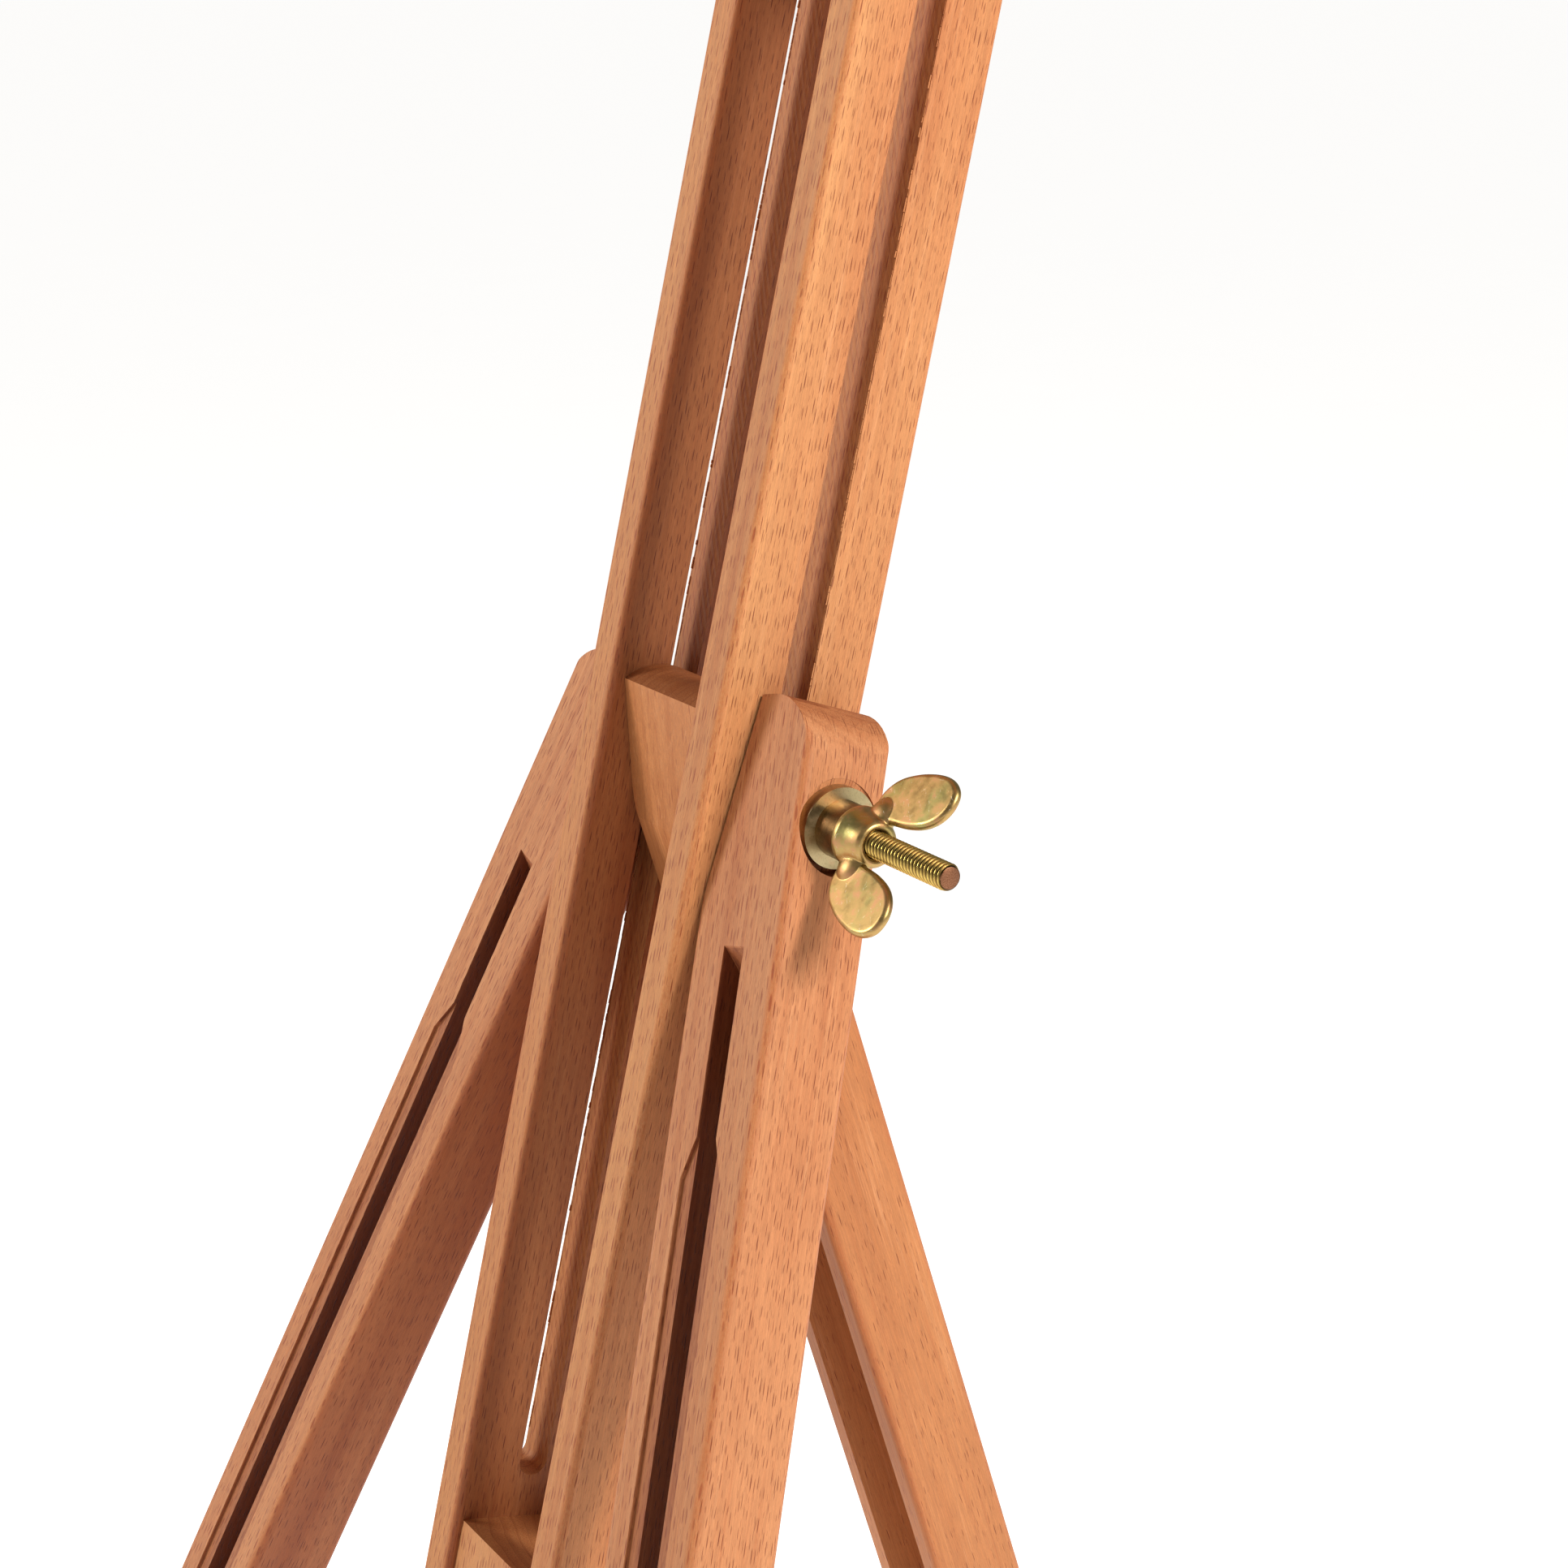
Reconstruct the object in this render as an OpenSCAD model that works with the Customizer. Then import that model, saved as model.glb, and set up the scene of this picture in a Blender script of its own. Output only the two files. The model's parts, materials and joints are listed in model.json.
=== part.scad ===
// Tripod artist's easel in oiled beech with yellow zinc hardware.
// A slotted two-rail mast slides and tilts on one head bolt that also joins the three legs.
// Origin: on the floor, at the middle of the easel's outline from above. +Z up, -Y is the
// painter's side.

/* [Stance] */
// height of the head bolt above the floor, mm
head_height = 800; // [650:10:1000]
// lean of the mast back from vertical, degrees
mast_lean = 13; // [5:0.5:20]
// lean of the front legs back from vertical, degrees
front_lean = 19.4; // [14:0.2:24]
// sideways splay of each front leg, degrees
leg_splay = 14.4; // [8:0.2:18]
// lean of the rear leg from vertical, degrees
rear_lean = 17.8; // [12:0.2:26]

/* [Mast] */
// thickness of each rail, mm
rail_thick = 14.8; // [10:0.2:22]
// depth of each rail, front to back, mm
rail_depth = 50; // [36:1:70]
// clear gap between the two rails, mm
rail_gap = 48.4; // [36:0.4:64]
// length of the rails below the head bolt, mm
rail_below = 330; // [260:10:420]
// length of the rails above the head bolt, mm
rail_above = 960; // [700:10:1200]
// radius on the long edges of the rails, mm
rail_edge_r = 2.6; // [1:0.2:4]
// height of the spacer blocks at both ends of the mast, mm
spacer_tall = 64; // [40:2:90]
// distance from a rail's end to its spacer block, mm
spacer_inset = 10; // [4:1:20]
// depth of the spacer blocks, front to back, mm
spacer_depth = 44; // [30:1:48]

/* [Front legs] */
// width of the front face of a leg, mm
leg_width = 43; // [34:0.5:56]
// depth of a leg, front to back, mm
leg_depth = 30.5; // [24:0.5:40]
// how far a leg's inner edge runs into the rail line at the bolt before it is cut flush, mm
leg_inset = 9.8; // [6:0.2:14]
// length of the upper leg below the bolt, mm
leg_upper = 520; // [420:10:620]
// gap between the outside of a rail and the flush-cut top of a leg, mm
leg_gap = 1; // [0.3:0.1:2]
// top of the left leg above its base point, mm
left_top = 17.5; // [10:0.5:30]
// top of the right leg above its base point, mm
right_top = 25.5; // [10:0.5:30]
// rounding of the outer top corner, mm
top_round = 19; // [8:0.5:24]
// radius on the long edges of the legs, mm
leg_edge_r = 3.2; // [1:0.2:5]
// start of the left leg's slot below the base point, mm
left_slot_start = 55; // [48:1:80]
// start of the right leg's slot below the base point, mm
right_slot_start = 48; // [48:1:80]
// radius of the saw that cuts the slot and leaves its curved upper end, mm
saw_r = 125; // [110:1:150]
// depth of the wide recess, mm
recess_deep = 1.2; // [1:0.2:8]
// start of the left leg's widening below the base point, mm
left_recess_start = 113.5; // [80:0.5:140]
// start of the right leg's widening below the base point, mm
right_recess_start = 103; // [80:0.5:140]
// length over which the recess widens, mm
recess_taper = 12.5; // [8:0.5:30]

/* [Lower legs] */
// thickness of a front lower leg, mm
lower_thick = 20; // [14:0.5:28]
// overlap of a front lower leg with its upper leg, mm
leg_overlap = 135; // [100:5:220]
// clamp bolt below the top of a lower leg, mm
clamp_drop = 30; // [20:1:50]
// length of the guide rib that rides in the leg slot, mm
rib_long = 55; // [40:1:80]
// height of the guide rib, mm
rib_high = 7; // [4:0.5:12]

/* [Rear leg] */
// depth of the rear leg, mm
rear_depth = 31; // [24:0.5:40]
// distance from the bolt axis to the front face of the rear leg, mm
rear_front = 17.8; // [12:0.2:22]
// height of the rounded top above the bolt axis, mm
rear_top = 29.3; // [22:0.1:34]
// radius of the rounded top, mm
rear_round = 20; // [18:0.5:30]
// where the front relief cut starts, below the bolt axis, mm
relief_down = 14; // [8:1:30]
// angle of the relief cut to the leg, degrees
relief_angle = 14.5; // [8:0.5:20]
// length of the rear upper leg below the bolt, mm
rear_upper = 500; // [400:10:620]
// width of the channel in the front of the rear leg, mm
channel_width = 29; // [20:0.5:34]
// depth of the channel, mm
channel_deep = 14; // [8:0.5:18]
// start of the channel below the bolt axis, mm
channel_start = 95; // [70:1:140]
// thickness of the rear lower leg, mm
rear_lower_thick = 24; // [18:0.5:30]
// overlap of the rear lower leg with the rear upper leg, mm
rear_overlap = 115; // [80:5:200]
// depth of the round recess for the rear clamp bolt's head, mm
rear_recess_deep = 7; // [5:0.5:10]

/* [Hardware] */
// diameter of every bolt, mm
bolt_d = 8; // [6:0.5:10]
// width across the flats of the hex heads, mm
hex_flats = 13; // [10:0.5:17]
// height of the hex heads, mm
hex_high = 5.3; // [4:0.1:7]
// outside diameter of the large washers, mm
washer_d = 24; // [20:0.5:30]
// thickness of the large washers, mm
washer_t = 2; // [1:0.1:3]
// outside diameter of the small washers in the leg recesses, mm
small_washer_d = 16; // [14:0.5:18]
// thickness of the small washers, mm
small_washer_t = 1.6; // [1:0.1:2.5]
// depth of the counterbores at the head bolt, below the leg's outer face, mm
spot_deep = 3.6; // [2:0.2:8]
// washers in the stack on each side of the head
head_washer_count = 2; // [1:1:3]
// outside diameter of the spacer bush, mm
bush_d = 17; // [12:0.5:22]
// length of the spacer bush, mm
bush_long = 8.8; // [4:0.2:14]
// length of the head bolt past its wing nut's hub, mm
head_bolt_stub = 34.9; // [10:0.1:50]
// length of the other bolts past their wing nuts' hubs, mm
bolt_stub = 14; // [4:0.5:24]
// length of a wing nut's hub, mm
hub_long = 10.7; // [8:0.1:18]
// diameter of a wing nut's hub at its base, mm
hub_base_d = 18.4; // [14:0.2:24]
// diameter of a wing nut's hub at its end, mm
hub_end_d = 14.4; // [11:0.2:20]
// radius from the axis to the tips of the wings, mm
wing_r = 25.6; // [22:0.2:34]
// height of the wings above the base of the nut, mm
wing_high = 31.2; // [24:0.2:38]
// thickness of the wings, mm
wing_t = 3.4; // [2:0.1:5]
// turn of the head wing nut about the bolt, degrees
head_nut_turn = 56; // [0:5:175]

/* [Canvas ledge and clamp] */
// height of the ledge along the mast, above the head bolt, mm
ledge_up = 345; // [320:5:600]
// top clamp below the upper end of the mast, mm
clamp_from_top = 220; // [180:5:400]
// width of the ledge, mm
ledge_wide = 460; // [300:10:600]
// depth of the ledge in front of the mast, mm
ledge_deep = 68; // [40:2:100]
// thickness of the ledge board, mm
ledge_thick = 20; // [14:1:26]
// height of the lip above the ledge, mm
lip_high = 14; // [6:1:30]
// thickness of the lip, mm
lip_thick = 12; // [8:1:20]
// width of the clamp's hook board, mm
hook_wide = 130; // [80:5:240]
// height of each sliding tongue block, mm
tongue_tall = 92; // [70:2:120]
// depth of the tongue behind the front of the rails, mm
tongue_back = 42; // [30:1:48]
// diameter of the wood screws, mm
screw_d = 4.5; // [3.5:0.1:6]
// diameter of the screw heads, mm
screw_head_d = 9; // [7:0.2:11]

/* [Feet] */
// wall of the rubber feet, mm
foot_wall = 3; // [2:0.5:6]
// height of the rubber feet up the leg, mm
foot_tall = 46; // [30:2:70]
// rubber under the end of the leg, mm
foot_floor = 10; // [6:1:20]

/* [Clearances] */
// gap between wooden faces that slide, mm
wood_gap = 0.3; // [0.1:0.05:0.6]
// radial play of a bolt in its bore, mm
bore_play = 0.08; // [0.02:0.01:0.1]
// gap on each side of a bolt in the long slots of the rails, mm
mast_slot_play = 0.95; // [0.3:0.05:2]
// gap on each side of a bolt in the slots of the legs, mm
leg_slot_play = 0.9; // [0.3:0.1:2]
// gap on each side of a small washer in its recess, mm
recess_play = 2.1; // [0.3:0.1:4]
// gap around a large washer in its counterbore, mm
spot_play = 1.75; // [0.5:0.25:4]
// gap between the ends of two facing mast screws, mm
screw_end_gap = 2; // [1:0.5:10]
// gap between a washer or nut and a face it turns on, mm
face_gap = 0.1; // [0.05:0.05:0.3]
// gap around a leg inside its rubber foot, mm
foot_gap = 0.05; // [0.02:0.01:0.2]

/* [Hidden] */
$fn = 64;
beech = [0.84, 0.60, 0.42];
beech_pale = [0.88, 0.70, 0.50];
zinc = [0.80, 0.66, 0.36];
bronze = [0.45, 0.33, 0.20];
rubber = [0.10, 0.10, 0.11];
rail_out = rail_gap / 2 + rail_thick;
leg_x = rail_out - leg_inset;
bore_d = bolt_d + 2 * bore_play;
rear_w = rail_gap - 2 * wood_gap;
rear_mid = rear_depth / 2 - rear_front;
mast_slot = bolt_d + 2 * mast_slot_play;
leg_slot = bolt_d + 2 * leg_slot_play;
recess_width = small_washer_d + 2 * recess_play;
mast_screw_long = rail_thick + (rail_gap - screw_end_gap) / 2;
lower_top = leg_upper - leg_overlap;
clamp_down = lower_top + clamp_drop;
rear_lower_top = rear_upper - rear_overlap;
rear_clamp_down = rear_lower_top + clamp_drop;
clamp_up = rail_above - clamp_from_top;
spot_d = washer_d + 2 * spot_play;
spot_x = leg_x + leg_width / cos(leg_splay) - spot_deep;
mast_slot_low = -rail_below + spacer_inset + spacer_tall + 14;
mast_slot_top = rail_above - spacer_inset - spacer_tall - 14;
front_run = head_height / (cos(leg_splay) * cos(front_lean));
rear_run = head_height / cos(rear_lean);
washer_x = spot_x + face_gap;
bush_x = washer_x + head_washer_count * washer_t;
nut_x = bush_x + bush_long;
lower_y = leg_depth / 2 + wood_gap;
lower_back = lower_y + lower_thick;
recess_floor = -leg_depth / 2 + recess_deep;
rear_channel_floor = -rear_front + channel_deep;
rear_back = rear_depth - rear_front;
rear_lower_front = rear_channel_floor - wood_gap - rear_lower_thick;
rear_recess_floor = rear_lower_front + rear_recess_deep;
tongue_w = rail_gap - 2 * wood_gap;
ledge_front = -rail_depth / 2 - wood_gap;
arm_front = ledge_front - ledge_deep * 0.8;
saw_over = 8;
saw_off = saw_r - leg_depth - saw_over;
saw_chord = sqrt(saw_r * saw_r - saw_off * saw_off);
big = 2000;
front_reach = (lower_y - foot_wall) / cos(front_lean) - head_height * tan(front_lean);
rear_reach = (rear_lower_front + rear_lower_thick + foot_wall) / cos(rear_lean)
    + head_height * tan(rear_lean);
mast_reach = rail_above * sin(mast_lean) + rail_depth / 2 * cos(mast_lean);
head_y = -(front_reach + max(rear_reach, mast_reach)) / 2;

// ---------- shared shapes ----------

// section of a board with rounded edges, centred
module board_section(w, d, r) {
    square([w - 2 * r, d], center = true);
    square([w, d - 2 * r], center = true);
    for (sx = [-1, 1], sy = [-1, 1])
        translate([sx * (w / 2 - r), sy * (d / 2 - r)]) circle(r = r);
}

// board standing on z = 0
module board(w, d, l, r) {
    linear_extrude(height = l) board_section(w, d, r);
}

// board lying along X, centred on X, w by d in Y and Z
module board_x(l, d, h, r) {
    rotate([90, 0, 90]) translate([0, 0, -l / 2]) board(d, h, l, r);
}

// rod along +X from x0 to x1
module rod_x(x0, x1, d) {
    translate([x0, 0, 0]) rotate([0, 90, 0]) cylinder(d = d, h = x1 - x0);
}

// rod along +Y from y0 to y1
module rod_y(y0, y1, d) {
    translate([0, y0, 0]) rotate([-90, 0, 0]) cylinder(d = d, h = y1 - y0);
}

// slot along Z with round ends, cut through along X
module slot_x(w, z0, z1, t) {
    translate([-t / 2, -w / 2, z0 + w / 2]) cube([t, w, z1 - z0 - w]);
    for (z = [z0 + w / 2, z1 - w / 2]) translate([0, 0, z]) rod_x(-t / 2, t / 2, w);
}

// slot along Z with round ends, cut from y0 to y1
module slot_y(w, z0, z1, y0, y1) {
    translate([-w / 2, y0, z0 + w / 2]) cube([w, y1 - y0, z1 - z0 - w]);
    for (z = [z0 + w / 2, z1 - w / 2]) translate([0, 0, z]) rod_y(y0, y1, w);
}

// bolt along +Z: hex head below z = 0, shank up to z = l with a chamfered end
module hex_bolt(l) {
    translate([0, 0, -hex_high]) cylinder(d = hex_flats / cos(30), h = hex_high, $fn = 6);
    cylinder(d = bolt_d, h = l - 1);
    translate([0, 0, l - 1]) cylinder(d1 = bolt_d, d2 = bolt_d - 2, h = 1);
}

// flat washer from z = 0 up
module washer(od, t) {
    difference() {
        cylinder(d = od, h = t);
        translate([0, 0, -1]) cylinder(d = bore_d, h = t + 2);
    }
}

// outline of one wing in the plane of radius (x) and axis (y)
module wing_outline() {
    hull() {
        translate([wing_r * 0.52, 6.2]) circle(r = 6, $fn = 32);
        translate([wing_r - 9, wing_high - 11]) circle(r = 9, $fn = 32);
        translate([wing_r - 7.8, wing_high - 7.8]) circle(r = 7.8, $fn = 32);
    }
}

// wing nut along +Z with its base at z = 0 and its wings in the XZ plane
module wing_nut() {
    difference() {
        union() {
            rotate_extrude() polygon([[0, 0], [hub_base_d / 2 - 0.8, 0], [hub_base_d / 2, 0.8],
                [hub_base_d / 2, 3.2], [hub_end_d / 2 + 0.7, hub_long - 2],
                [hub_end_d / 2 - 0.8, hub_long], [0, hub_long]]);
            for (turn = [0, 180]) rotate([0, 0, turn]) translate([0, wing_t / 2, 0])
                rotate([90, 0, 0]) linear_extrude(height = wing_t) wing_outline();
        }
        translate([0, 0, -1]) cylinder(d = bore_d, h = wing_high + 2);
    }
}

// countersunk wood screw pointing along -Z with its head flush at z = 0
module wood_screw(l) {
    translate([0, 0, -3]) cylinder(d1 = screw_d, d2 = screw_head_d, h = 3);
    translate([0, 0, -l]) cylinder(d = screw_d, h = l - 3);
}

// hole for the same screw
module screw_hole(l) {
    translate([0, 0, -3 - 0.05]) cylinder(d1 = screw_d + 0.1, d2 = screw_head_d + 0.1, h = 3.05);
    translate([0, 0, -l - 0.5]) cylinder(d = screw_d + 0.1, h = l);
}

// ---------- frames ----------

module at_head() { translate([0, head_y, head_height]) children(); }

module at_mast() { at_head() rotate([-mast_lean, 0, 0]) children(); }

module at_rear() { at_head() rotate([rear_lean, 0, 0]) children(); }

// leg frame: origin on the bolt axis line at the leg's inner edge, +X outward across the leg,
// -Z down the leg, -Y to the front. side is 1 for right and -1 for left
module at_leg(side) {
    mirror([side < 0 ? 1 : 0, 0, 0]) at_head() translate([leg_x, 0, 0])
        rotate([-front_lean, 0, 0]) rotate([0, -leg_splay, 0]) children();
}

// everything above height z of the floor
module above_floor(z) { translate([-big / 2, -big / 2, z]) cube([big, big, big]); }

// ---------- mast ----------

function spacer_low() = -rail_below + spacer_inset;
function spacer_high() = rail_above - spacer_inset - spacer_tall;
function screw_levels() = [spacer_low() + spacer_tall * 0.25, spacer_low() + spacer_tall * 0.75,
    spacer_high() + spacer_tall * 0.25, spacer_high() + spacer_tall * 0.75];

// the screws through both rails into the spacer blocks, heads flush with the rails
module mast_screw_places() {
    for (side = [-1, 1], z = screw_levels())
        translate([side * rail_out, 0, z]) rotate([0, side * 90, 0]) children();
}

module rail(side) {
    difference() {
        translate([side * (rail_gap + rail_thick) / 2, 0, -rail_below])
            board(rail_thick, rail_depth, rail_below + rail_above, rail_edge_r);
        translate([side * (rail_gap + rail_thick) / 2, 0, 0])
            slot_x(mast_slot, mast_slot_low, mast_slot_top, rail_thick + 4);
        mast_screw_places() screw_hole(mast_screw_long);
    }
}

module spacer_block(z) {
    difference() {
        translate([0, 0, z]) board(rail_gap, spacer_depth, spacer_tall, 0.6);
        mast_screw_places() screw_hole(mast_screw_long);
    }
}

module rail_left() { color(beech) at_mast() rail(-1); }
module rail_right() { color(beech) at_mast() rail(1); }
module mast_foot_block() { color(beech) at_mast() spacer_block(spacer_low()); }
module mast_top_block() { color(beech) at_mast() spacer_block(spacer_high()); }
module mast_screws() { color(zinc) at_mast() mast_screw_places() wood_screw(mast_screw_long); }

// ---------- head ----------

module head_bolt() {
    color(zinc) at_head() translate([-bush_x, 0, 0]) rotate([0, 90, 0])
        rotate([0, 0, 30]) hex_bolt(bush_x + nut_x + face_gap + hub_long + head_bolt_stub);
}

module head_washers() {
    color(zinc) at_head() for (side = [-1, 1], k = [0 : head_washer_count - 1])
        rotate([0, side * 90, 0]) translate([0, 0, washer_x + k * washer_t])
            washer(washer_d, washer_t);
}

module head_bush() {
    color(bronze) at_head() translate([bush_x, 0, 0]) rotate([0, 90, 0]) difference() {
        cylinder(d = bush_d, h = bush_long);
        translate([0, 0, -1]) cylinder(d = bore_d, h = bush_long + 2);
    }
}

module head_wing_nut() {
    color(zinc) at_head() rotate([head_nut_turn - 90, 0, 0])
        translate([nut_x + face_gap, 0, 0]) rotate([0, 90, 0]) wing_nut();
}

// ---------- front legs ----------

// plan of the recess: narrow at the top, full width below the taper
module recess_plan(start) {
    polygon([[-leg_slot / 2, -start], [leg_slot / 2, -start],
        [recess_width / 2, -start - recess_taper],
        [recess_width / 2, -leg_upper + 16], [-recess_width / 2, -leg_upper + 16],
        [-recess_width / 2, -start - recess_taper]]);
}

// slot through the leg: sawn from the front, so its upper end runs out in an arc of the saw
module saw_slot(start) {
    translate([-leg_slot / 2, -leg_depth, -leg_upper + 20])
        cube([leg_slot, 2 * leg_depth, leg_upper - 20 - start - saw_chord]);
    translate([-leg_slot / 2, -leg_depth / 2 - saw_off, -start - saw_chord])
        rotate([0, 90, 0]) cylinder(r = saw_r, h = leg_slot);
}

module leg_upper_blank(top, slot, recess) {
    difference() {
        translate([leg_width / 2, 0, -leg_upper])
            board(leg_width, leg_depth, leg_upper + top, leg_edge_r);
        translate([leg_width - top_round, -leg_depth, top - top_round]) difference() {
            cube([top_round + 5, leg_depth * 2, top_round + 5]);
            translate([0, -1, 0]) rotate([-90, 0, 0])
                cylinder(r = top_round, h = leg_depth * 2 + 2);
        }
        translate([leg_width / 2, 0, 0]) saw_slot(slot);
        translate([leg_width / 2, recess_floor, 0]) rotate([90, 0, 0])
            linear_extrude(height = leg_depth) recess_plan(recess);
    }
}

module front_leg_upper(side, top, slot, recess) {
    difference() {
        at_leg(side) leg_upper_blank(top, slot, recess);
        // inner top cut flush with the outside of the rail
        at_head() translate([side > 0 ? 0 : -rail_out - leg_gap, -100, -200])
            cube([rail_out + leg_gap, 200, 400]);
        at_head() rod_x(-150, 150, bore_d);
        at_head() for (s = [-1, 1]) rotate([0, s * 90, 0])
            translate([0, 0, spot_x]) cylinder(d = spot_d, h = 60);
    }
}

// lower leg body in the leg frame, grown by g on every side, cut level at height z of the floor
module lower_leg_bar(side, g, z) {
    intersection() {
        at_leg(side) translate([leg_width / 2, lower_y + lower_thick / 2, -front_run - 60])
            board(leg_width + 2 * g, lower_thick + 2 * g, front_run + 60 - lower_top,
                leg_edge_r);
        above_floor(z);
    }
}

module front_leg_lower(side) {
    difference() {
        union() {
            lower_leg_bar(side, 0, foot_floor);
            at_leg(side) translate([leg_width / 2, lower_y - rib_high / 2 + 0.5,
                -lower_top - 8 - rib_long])
                translate([-leg_slot / 2 + wood_gap, -rib_high / 2 - 0.5, 0])
                    cube([leg_slot - 2 * wood_gap, rib_high + 1, rib_long]);
        }
        at_leg(side) translate([leg_width / 2, 0, -clamp_down])
            rod_y(-leg_depth, lower_back + 5, bore_d);
    }
}

module front_foot(side) {
    difference() {
        intersection() {
            at_leg(side) translate([leg_width / 2, lower_y + lower_thick / 2, -front_run - 60])
                board(leg_width + 2 * foot_wall, lower_thick + 2 * foot_wall, foot_tall + 60,
                    leg_edge_r + foot_wall);
            above_floor(0);
        }
        lower_leg_bar(side, foot_gap, foot_floor - foot_gap);
    }
}

module front_clamp_bolt(side) {
    at_leg(side) translate([leg_width / 2, recess_floor - small_washer_t, -clamp_down])
        rotate([-90, 0, 0])
        hex_bolt(lower_back - recess_floor + small_washer_t + washer_t + hub_long + bolt_stub);
}

module front_clamp_washers(side) {
    at_leg(side) translate([leg_width / 2, 0, -clamp_down]) {
        translate([0, recess_floor - face_gap, 0]) rotate([90, 0, 0])
            washer(small_washer_d, small_washer_t - face_gap);
        translate([0, lower_back, 0]) rotate([-90, 0, 0]) washer(washer_d, washer_t);
    }
}

module front_clamp_nut(side, turn) {
    at_leg(side) translate([leg_width / 2, lower_back + washer_t + face_gap, -clamp_down])
        rotate([-90, 0, 0]) rotate([0, 0, turn]) wing_nut();
}

module left_leg_upper() {
    color(beech) front_leg_upper(-1, left_top, left_slot_start, left_recess_start);
}
module right_leg_upper() {
    color(beech) front_leg_upper(1, right_top, right_slot_start, right_recess_start);
}
module left_leg_lower() { color(beech) front_leg_lower(-1); }
module right_leg_lower() { color(beech) front_leg_lower(1); }
module left_foot() { color(rubber) front_foot(-1); }
module right_foot() { color(rubber) front_foot(1); }
module left_clamp_bolt() { color(zinc) front_clamp_bolt(-1); }
module right_clamp_bolt() { color(zinc) front_clamp_bolt(1); }
module left_clamp_washers() { color(zinc) front_clamp_washers(-1); }
module right_clamp_washers() { color(zinc) front_clamp_washers(1); }
module left_clamp_wing_nut() { color(zinc) front_clamp_nut(-1, 35); }
module right_clamp_wing_nut() { color(zinc) front_clamp_nut(1, 120); }

// ---------- rear leg ----------

module rear_leg_upper() {
    color(beech_pale) at_rear() difference() {
        intersection() {
            translate([0, rear_mid, -rear_upper])
                board(rear_w, rear_depth, rear_upper + rear_top, leg_edge_r);
            union() {
                translate([-50, -50, -rear_upper - 1])
                    cube([100, 100, rear_upper + 1 + rear_top - rear_round]);
                translate([0, -2, rear_top - rear_round]) rod_x(-50, 50, 2 * rear_round);
            }
        }
        // relief on the front of the head
        translate([0, -rear_front, -relief_down]) rotate([-relief_angle, 0, 0])
            translate([-50, -60, 0]) cube([100, 60, 120]);
        rod_x(-50, 50, bore_d);
        // channel for the lower length
        translate([-channel_width / 2, -rear_front - 20, -rear_upper - 1])
            cube([channel_width, 20 + channel_deep, rear_upper + 1 - channel_start]);
        slot_y(leg_slot, -rear_upper + 24, -channel_start - 20, -rear_front, rear_back + 5);
    }
}

module rear_lower_bar(g, z) {
    intersection() {
        at_rear() translate([0, rear_lower_front + rear_lower_thick / 2, -rear_run - 60])
            board(channel_width - 2 * wood_gap + 2 * g, rear_lower_thick + 2 * g,
                rear_run + 60 - rear_lower_top, 2);
        above_floor(z);
    }
}

module rear_leg_lower() {
    color(beech) difference() {
        rear_lower_bar(0, foot_floor);
        at_rear() translate([0, 0, -rear_clamp_down]) {
            rod_y(-80, 40, bore_d);
            rod_y(-80, rear_recess_floor, small_washer_d + 4);
        }
    }
}

module rear_foot() {
    color(rubber) difference() {
        intersection() {
            at_rear() translate([0, rear_lower_front + rear_lower_thick / 2, -rear_run - 60])
                board(channel_width - 2 * wood_gap + 2 * foot_wall,
                    rear_lower_thick + 2 * foot_wall, foot_tall + 60, 2 + foot_wall);
            above_floor(0);
        }
        rear_lower_bar(foot_gap, foot_floor - foot_gap);
    }
}

module rear_clamp_bolt() {
    color(zinc) at_rear() translate([0, rear_recess_floor - small_washer_t, -rear_clamp_down])
        rotate([-90, 0, 0])
        hex_bolt(rear_back - rear_recess_floor + small_washer_t + washer_t + hub_long + bolt_stub);
}

module rear_clamp_washers() {
    color(zinc) at_rear() translate([0, 0, -rear_clamp_down]) {
        translate([0, rear_recess_floor, 0]) rotate([90, 0, 0])
            washer(small_washer_d, small_washer_t);
        translate([0, rear_back + face_gap, 0]) rotate([-90, 0, 0]) washer(washer_d, washer_t);
    }
}

module rear_clamp_wing_nut() {
    color(zinc) at_rear()
        translate([0, rear_back + 2 * face_gap + washer_t, -rear_clamp_down])
        rotate([-90, 0, 0]) rotate([0, 0, 75]) wing_nut();
}

// ---------- canvas ledge and top clamp ----------

// sliding block between the rails; its arm reaches forward to carry a board.
// flip is 1 with the arm below the board and -1 with the arm above it
module tongue(z, flip) {
    translate([0, 0, z]) mirror([0, 0, flip < 0 ? 1 : 0]) difference() {
        union() {
            translate([-tongue_w / 2, ledge_front, -tongue_tall])
                cube([tongue_w, tongue_back, tongue_tall]);
            translate([-tongue_w / 2, arm_front, -ledge_thick - 24])
                cube([tongue_w, ledge_front - arm_front + 1, 24]);
        }
        translate([-tongue_w, ledge_front - ledge_deep, -ledge_thick])
            cube([2 * tongue_w, ledge_deep, ledge_thick + 1]);
        translate([0, 0, -tongue_tall / 2]) rod_x(-60, 60, bore_d);
        carriage_screws() screw_hole(36);
    }
}

// two screws up through the arm into the board
module carriage_screws() {
    for (sx = [-1, 1]) translate([sx * tongue_w * 0.27, ledge_front - ledge_deep * 0.45,
        -ledge_thick - 24]) rotate([180, 0, 0]) children();
}

// screws through the lip into the front edge of the ledge
module lip_screws() {
    for (k = [-1.5, -0.5, 0.5, 1.5]) translate([k * ledge_wide * 0.27,
        ledge_front - ledge_deep - lip_thick, -ledge_thick / 2]) rotate([90, 0, 0]) children();
}

module slide_bolt(z) {
    translate([-rail_out - face_gap - washer_t, 0, z]) rotate([0, 90, 0])
        hex_bolt(2 * (rail_out + face_gap + washer_t) + hub_long + bolt_stub);
}

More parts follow.
